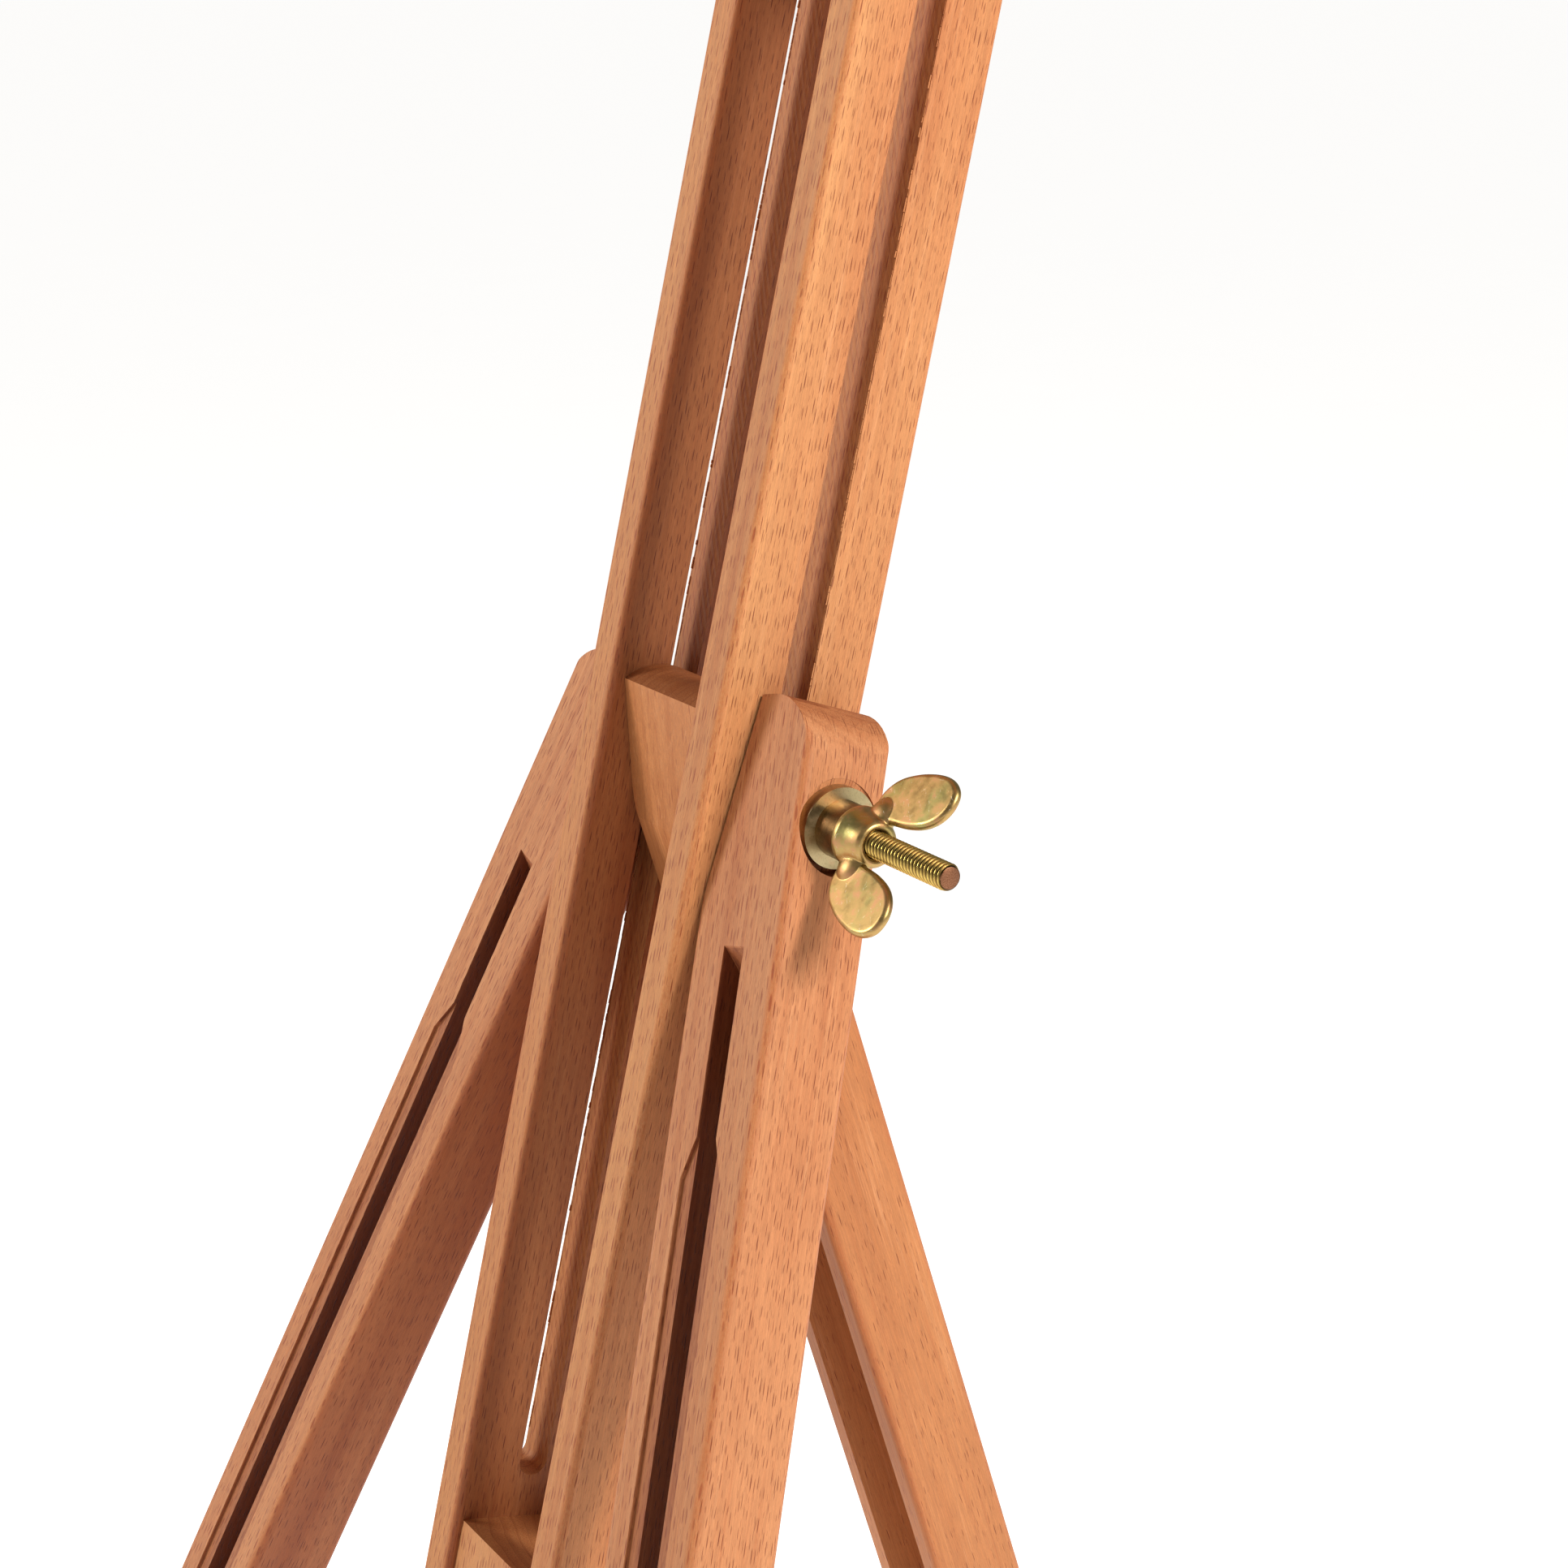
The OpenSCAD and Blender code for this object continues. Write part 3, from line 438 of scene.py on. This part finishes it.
# ---------------------------------------------------------------- boards
for side, sign, seed, ring in (("left", -1, 1, (60, -14, 4.2)), ("right", 1, 2, (-36, 9, 4.6))):
    give("rail_" + side, wood("beech_rail_" + side, HEAD, MAST, "mast", seed, ring, RAIL_HALF,
                              (sign * RAIL_MID, 0), (1, 0, RAIL_SLOT_HALF), inward=-sign))
for side, sign, seed, ring, lower_seed, lower_ring in (
        ("left", -1, 5, (52, -20, 4.4), 7, (-20, 70, 3.7)),
        ("right", 1, 6, (-44, 12, 4.0), 8, (24, -40, 3.9))):
    mid = sign * LEG_HALF[0]
    give(side + "_leg_upper", wood("beech_%s_upper" % side, LEG_ORIGIN[side], LEG[side], "leg", seed,
                                   ring, LEG_HALF, (mid, 0), (0, mid, LEG_SLOT_HALF), inward=-sign))
    give(side + "_leg_lower", wood("beech_%s_lower" % side, LEG_ORIGIN[side], LEG[side], "leg",
                                   lower_seed, lower_ring, LOWER_LEG_HALF, (mid, LOWER_LEG_Y)))
give("rear_leg_upper", wood("beech_rear_upper", HEAD, REAR, "pale", 9, (62, 4, 4.2), REAR_HALF,
                            REAR_MID, dash=0.35))
give("rear_leg_lower", wood("beech_rear_lower", HEAD, REAR, "pale", 10, (-50, 20, 4.0),
                            REAR_LOWER_HALF, REAR_LOWER_MID))
for node, name, seed, ring, along_x in (
        ("mast_foot_block", "foot_block", 3, (8, 70, 3.8), False),
        ("mast_top_block", "top_block", 4, (-9, 66, 3.9), False),
        ("ledge_tongue", "ledge_tongue", 11, (50, 30, 4.1), False),
        ("ledge_shelf", "ledge_shelf", 12, (300, -120, 4.3), True),
        ("ledge_lip", "ledge_lip", 13, (400, -60, 4.0), True),
        ("top_tongue", "top_tongue", 14, (-50, 30, 3.9), False),
        ("top_hook", "top_hook", 15, (690, -130, 4.0), True)):
    give(node, wood("beech_" + name, HEAD, MAST, "mast", seed, ring, along_x=along_x))

# ---------------------------------------------------------------- plain metal and rubber nodes
wing_zinc = metal("yellow_zinc_wing", lin(178, 146, 92), lin(162, 150, 92), lin(192, 140, 102),
                  0.38, 0.9, 0.10)
thread_zinc = thread("yellow_zinc_thread", lin(206, 176, 96), lin(58, 42, 12), lin(190, 156, 84))
washer_zinc = metal("zinc_washer", lin(186, 168, 128), lin(168, 152, 112), lin(196, 162, 122),
                    0.36, 0.25, 0.55)
screw_zinc = metal("zinc_screw", lin(206, 176, 108), lin(190, 170, 116), lin(208, 160, 110),
                   0.30, 0.2, 0.3)
for where in ("head", "left_clamp", "right_clamp", "rear_clamp", "ledge", "top"):
    give(where + "_washers", washer_zinc)
for where in ("mast", "ledge", "top"):
    give(where + "_screws", screw_zinc)
give("head_bush", metal("dark_bronze", lin(128, 98, 58), lin(98, 72, 42), lin(142, 98, 62),
                        0.34, 0.15, 0.6))
for foot in ("left_foot", "right_foot", "rear_foot"):
    give(foot, rubber("rubber_" + foot))


# ---------------------------------------------------------------- detailed hardware
def along(node, pos, axis):
    """lowest and highest reach of a node along an axis, its widest radial direction and radius"""
    widest, far, low, high = 0.0, X, 1e9, -1e9
    for v in NODES[node].data.vertices:
        d = v.co - pos
        t = d.dot(axis)
        low, high = min(low, t), max(high, t)
        r = d - axis * t
        if r.length > widest:
            widest, far = r.length, r.normalized()
    return low, high, far, widest


def mesh_from(name, bm):
    mesh = bpy.data.meshes.new(name)
    bm.to_mesh(mesh)
    bm.free()
    return mesh


def add_object(name, mesh):
    o = bpy.data.objects.new(name, mesh)
    bpy.context.scene.collection.objects.link(o)
    return o


def put_mesh(name, mesh, node, origin, z, xaxis):
    """places a mesh that stands in for a CAD node, with its own z along the bolt's axis"""
    for p in mesh.polygons:
        p.use_smooth = True
    o = add_object(name, mesh)
    x = (xaxis - z * xaxis.dot(z)).normalized()
    m = Matrix((x, z.cross(x), z)).transposed().to_4x4()
    m.translation = origin
    o.matrix_world = m
    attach(o, next(body for body, nodes in BODIES.items() if node in nodes))
    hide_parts(node)


def rings(bm, rows, closed_start, closed_end):
    """skins rows of equally many points, each row a closed loop"""
    vs = [[bm.verts.new(p) for p in row] for row in rows]
    n = len(rows[0])
    for a, b in zip(vs, vs[1:]):
        for i in range(n):
            bm.faces.new((a[i], a[(i + 1) % n], b[(i + 1) % n], b[i]))
    if closed_start:
        bm.faces.new(vs[0][::-1])
    if closed_end:
        bm.faces.new(vs[-1])
    return vs


def circle_row(r, z, n):
    return [(r * math.cos(2 * math.pi * i / n), r * math.sin(2 * math.pi * i / n), z) for i in range(n)]


def hexagon(flats, n):
    """n points round a hexagon of a given width across its flats"""
    row = []
    for i in range(n):
        a = 2 * math.pi * i / n
        r = flats / 2 / math.cos((a + math.pi / 6) % (math.pi / 3) - math.pi / 6)
        row.append((r * math.cos(a), r * math.sin(a)))
    return row


def bolt_body(bm, thread_start):
    """chamfered hexagonal head and plain shank"""
    n = 36
    base = BOLT_FLATS / 2 * 0.94  # where the chamfer meets the flat end of the head
    outline = hexagon(BOLT_FLATS, n)
    rings(bm, [
        circle_row(base, 0.0, n),
        [(x, y, (math.hypot(x, y) - base) * 0.55) for x, y in outline],
        [(x, y, BOLT_HEAD - 0.0004) for x, y in outline],
        circle_row(base, BOLT_HEAD - 0.0003, n),
        circle_row(base, BOLT_HEAD, n),
        circle_row(BOLT_R + 0.0004, BOLT_HEAD, n),
        circle_row(BOLT_R, BOLT_HEAD + 0.0005, n),
        circle_row(BOLT_R, thread_start, n),
    ], True, False)


def bolt_thread(bm, start, length):
    """true helical thread: a grid of m columns, sheared by one pitch in each turn"""
    m, per = 40, 8
    turns = int((length - start) / PITCH + 1e-6) + 2
    grid = []
    for j in range(turns * per + 1):
        row = []
        for i in range(m):
            a = 2 * math.pi * i / m
            z = min(max(start + (j / per - 1 + i / m) * PITCH, start), length - 0.0002)
            ridge = max(0.0, min(1.0, (abs((j / per) % 1.0 - 0.5) * 2 - 0.12) / 0.76))
            r = BOLT_R - THREAD_DEEP * ridge * min(1.0, (z - start) / PITCH)
            r = min(r, BOLT_R - 0.0009 + length - z)  # chamfered tip
            row.append(bm.verts.new((r * math.cos(a), r * math.sin(a), z)))
        grid.append(row)
    for j in range(len(grid) - 1):
        for i in range(m):
            if i < m - 1:
                q = (grid[j][i], grid[j][i + 1], grid[j + 1][i + 1], grid[j + 1][i])
            elif j + per + 1 < len(grid):
                q = (grid[j][i], grid[j + per][0], grid[j + per + 1][0], grid[j + 1][i])
            else:
                continue
            heights = [v.co.z for v in q]
            if max(heights) - min(heights) >= 1e-7:
                bm.faces.new(q)
    rings(bm, [circle_row(BOLT_R - 0.00078, length - 0.0002, m),
               circle_row(BOLT_R - 0.00105, length, m)], False, True)


def bolt(node, joint, threaded):
    """hex bolt with a chamfered head, a plain shank and a true helical thread"""
    pos, axis = Vector(JOINTS[joint]["pos_m"]), axis_of(joint)
    low, high, far, _ = along(node, pos, axis)
    length = high - low
    bm = bmesh.new()
    bolt_body(bm, length - threaded)
    bolt_thread(bm, length - threaded, length)
    bmesh.ops.remove_doubles(bm, verts=bm.verts, dist=2e-6)
    bmesh.ops.delete(bm, geom=[v for v in bm.verts if not v.link_faces], context="VERTS")
    mesh = mesh_from(node + "_threaded", bm)
    mesh.materials.append(thread_zinc)
    put_mesh(node + "_threaded", mesh, node, pos + axis * low, axis, far)


# outline of one wing, mm from the nut's axis and up from its washer face
WING = ((11.0, 0.9), (15.5, 1.6), (20.0, 5.0), (23.2, 11.0), (25.1, 17.5), (25.6, 23.0),
        (24.6, 27.2), (22.0, 30.2), (17.5, 31.0), (13.0, 29.2), (9.6, 25.0), (7.6, 18.5),
        (6.8, 11.0), (6.2, 5.0), (7.6, 1.4))
WING_WIDE, WING_TALL = 25.6, 31.0


def spline(p, f):
    """Catmull-Rom curve through four numbers, between the middle two"""
    return 0.5 * (2 * p[1] + (p[2] - p[0]) * f + (2 * p[0] - 5 * p[1] + 4 * p[2] - p[3]) * f * f
                  + (3 * p[1] - p[0] - 3 * p[2] + p[3]) * f ** 3)


def wing_points(wing_r, tall, n=96):
    """smooth closed outline of one wing, fitted to the nut's own radius and height"""
    scale = ((wing_r - 0.0001) / WING_WIDE, (tall - 0.0001) / WING_TALL)
    out = []
    for i in range(n):
        t = i / n * len(WING)
        near = [WING[(int(t) + d) % len(WING)] for d in (-1, 0, 1, 2)]
        out.append(tuple(spline([p[c] for p in near], t - int(t)) * scale[c] for c in (0, 1)))
    return out


def wing_row(pts, side, inset, y):
    """the wing's outline drawn in by inset, at a distance y from the wing's middle plane"""
    row = []
    for k, (px, pz) in enumerate(pts):
        (qx, qz), (ox, oz) = pts[(k + 1) % len(pts)], pts[k - 1]
        tx, tz = qx - ox, qz - oz
        l = math.hypot(tx, tz) or 1.0
        # (tz, -tx) points outward for a counter-clockwise outline
        row.append((side * (px - tz / l * inset), side * y, pz + tx / l * inset))
    return row


def wing_nut_mesh(wing_r, tall):
    """hub and two wings with thick roots, melted into one forged skin"""
    bm = bmesh.new()
    n = 64
    profile = [(0.0041, 0.0), (0.0084, 0.0), (0.0090, 0.0003), (0.0092, 0.0009), (0.0092, 0.0022),
               (0.0088, 0.0031), (0.0082, 0.0046), (0.0077, 0.0064), (0.0073, NUT_HUB - 0.0026),
               (0.0069, NUT_HUB - 0.0012), (0.0062, NUT_HUB - 0.0003), (0.0054, NUT_HUB),
               (0.0047, NUT_HUB - 0.0002), (0.0042, NUT_HUB - 0.0008)]
    vs = rings(bm, [circle_row(r, z, n) for r, z in profile], False, False)
    for i in range(n):  # bore
        bm.faces.new((vs[-1][i], vs[-1][(i + 1) % n], vs[0][(i + 1) % n], vs[0][i]))
    pts = wing_points(wing_r, tall)
    layers = [(0.0022, 1.0), (0.0012, 1.0), (0.0007, 0.86), (0.0002, 0.55), (0.0, 0.2)]
    layers += [(inset, -y) for inset, y in reversed(layers)]
    for side in (1, -1):
        rings(bm, [wing_row(pts, side, inset, y * WING_HALF) for inset, y in layers], True, True)
        # thickened root where the wing grows out of the hub
        ball = bmesh.ops.create_uvsphere(bm, u_segments=32, v_segments=20, radius=1.0)["verts"]
        for v in ball:
            v.co = Vector((v.co.x * 0.0056 + side * 0.0083, v.co.y * 0.0034, v.co.z * 0.0050 + 0.0056))
    bmesh.ops.recalc_face_normals(bm, faces=bm.faces)
    o = add_object("wing_nut_blank", mesh_from("wing_nut_blank", bm))
    melt = o.modifiers.new("remesh", "REMESH")
    melt.mode = "VOXEL"
    melt.voxel_size = NUT_VOXEL
    smooth = o.modifiers.new("smooth", "SMOOTH")
    smooth.factor = 0.6
    smooth.iterations = 3
    o.modifiers.new("decimate", "DECIMATE").ratio = 0.3
    done = bpy.data.meshes.new_from_object(o.evaluated_get(bpy.context.evaluated_depsgraph_get()))
    done.name = "wing_nut"
    done.materials.append(wing_zinc)
    bpy.data.objects.remove(o)
    return done


# where each bolt and its wing nut are, the joint that turns the nut, and the threaded length in m
FASTENERS = (("head", "head_nut_spin", 0.052), ("ledge", "ledge_nut_spin", 0.034),
             ("top", "top_nut_spin", 0.034), ("left_clamp", "left_nut_spin", 0.032),
             ("right_clamp", "right_nut_spin", 0.032), ("rear_clamp", "rear_nut_spin", 0.032))
nut_mesh = None
for where, joint, _ in FASTENERS:
    node, pos, axis = where + "_wing_nut", Vector(JOINTS[joint]["pos_m"]), axis_of(joint)
    low, high, far, widest = along(node, pos, axis)
    nut_mesh = nut_mesh or wing_nut_mesh(widest, high - low)
    put_mesh(node + "_forged", nut_mesh, node, pos + axis * low, axis, far)
for where, joint, threaded in FASTENERS:
    bolt(where + "_bolt", joint, threaded)

# ---------------------------------------------------------------- torn fibres
# small splinters along the rear edge of each mast slot, just under the rail's outer side, m
FIBRE_FROM, FIBRE_TO = -0.235, 0.86
FIBRE_EDGE, FIBRE_ROOT = 0.00495, 0.0002  # slot's half width, and how deep a splinter is rooted
FIBRE_UNDER, FIBRE_THICK, FIBRE_SLANT = 0.0003, 0.0004, 0.0003
FIBRE_REACH = (0.00006, 0.00012, 0.0002, 0.00028, 0.00036, 0.0005)


def fibre_rows():
    """heights along the mast, and how far the splinter that starts there reaches into the slot"""
    z, reach, rows = FIBRE_FROM, 0.0002, []
    while z < FIBRE_TO:
        z += random.uniform(0.0012, 0.0050)
        if random.random() < 0.75:
            reach = random.choice(FIBRE_REACH)
        rows.append((z, reach))
    return rows


random.seed(11)
for side, node in ((-1, "rail_left"), (1, "rail_right")):
    rail_lo, rail_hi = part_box(node)
    x = (rail_lo.x + FIBRE_UNDER) if side < 0 else (rail_hi.x - FIBRE_UNDER)
    rows = fibre_rows()
    bm = bmesh.new()
    for (z0, r0), (z1, r1) in zip(rows, rows[1:]):
        outline = ((FIBRE_EDGE + FIBRE_ROOT, z0), (FIBRE_EDGE - r0, z0 + FIBRE_SLANT),
                   (FIBRE_EDGE - r0 * 0.8, z1), (FIBRE_EDGE + FIBRE_ROOT, z1))
        front = [bm.verts.new(HEAD + MAST @ Vector((x - HEAD.x, y, z))) for y, z in outline]
        back = [bm.verts.new(v.co - X * side * FIBRE_THICK) for v in front]
        bm.faces.new(front)
        bm.faces.new(back[::-1])
        for i in range(4):
            bm.faces.new((front[i], back[i], back[(i + 1) % 4], front[(i + 1) % 4]))
    bmesh.ops.recalc_face_normals(bm, faces=bm.faces)
    o = add_object(node + "_fibres", mesh_from(node + "_fibres", bm))
    o.data.materials.append(NODES[node].material_slots[0].material)
    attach(o, "mast")

# ---------------------------------------------------------------- floor, light, camera
bpy.ops.mesh.primitive_plane_add(size=600, location=(0, 0, 0))
floor = bpy.context.object
floor.name = "floor"
b = Nodes("pale_floor")
b.set(Base_Color=b.mix((0.86, 0.855, 0.845, 1), (0.90, 0.895, 0.885, 1),
                       b.noise(b.board()[0], 0.004, 3.0, 0.5)),
      Roughness=0.85, Emission_Color=(1.0, 0.992, 0.98, 1), Emission_Strength=0.80)
floor.data.materials.append(b.mat)

world = bpy.data.worlds.new("studio")
bpy.context.scene.world = world
world.use_nodes = True
sky = world.node_tree.nodes["Background"]
sky.inputs["Color"].default_value = (1.0, 0.99, 0.975, 1)
sky.inputs["Strength"].default_value = 0.20


def area(name, offset, size, power, color):
    """soft rectangular light at an offset from the head bolt, aimed at it"""
    light = bpy.data.lights.new(name, "AREA")
    light.shape = "RECTANGLE"
    light.size, light.size_y = size
    light.energy = power
    light.color = color
    o = add_object(name, light)
    o.location = HEAD + Vector(offset)
    o.rotation_mode = "QUATERNION"
    o.rotation_quaternion = (-Vector(offset)).to_track_quat("-Z", "Y")


area("key_left", (-1.5, -1.9, 0.9), (0.7, 0.9), 40, (1.0, 0.985, 0.955))
area("fill_right", (2.0, 0.62, 1.45), (0.6, 0.6), 66, (1.0, 0.98, 0.94))

# the photograph's view: where the camera stands from the head bolt, its turn and its drop
CAMERA_OFFSET = (0.73833, -0.43208, 0.24074)
AZIMUTH, ELEVATION = math.radians(58.11), math.radians(16.03)
FOCAL = 3591.65 / 1932  # focal length over the picture's width
SENSOR = 36.0
camera_data = bpy.data.cameras.new("camera")
camera_data.sensor_width = SENSOR
camera_data.lens = FOCAL * SENSOR
camera_data.clip_start, camera_data.clip_end = 0.02, 100
camera = add_object("camera", camera_data)
camera.location = HEAD + Vector(CAMERA_OFFSET)
camera.rotation_mode = "QUATERNION"
camera.rotation_quaternion = Vector((
    -math.sin(AZIMUTH) * math.cos(ELEVATION), math.cos(AZIMUTH) * math.cos(ELEVATION),
    -math.sin(ELEVATION))).to_track_quat("-Z", "Y")
bpy.context.scene.camera = camera
bpy.context.scene.view_settings.view_transform = "Standard"
bpy.context.scene.view_settings.look = "None"
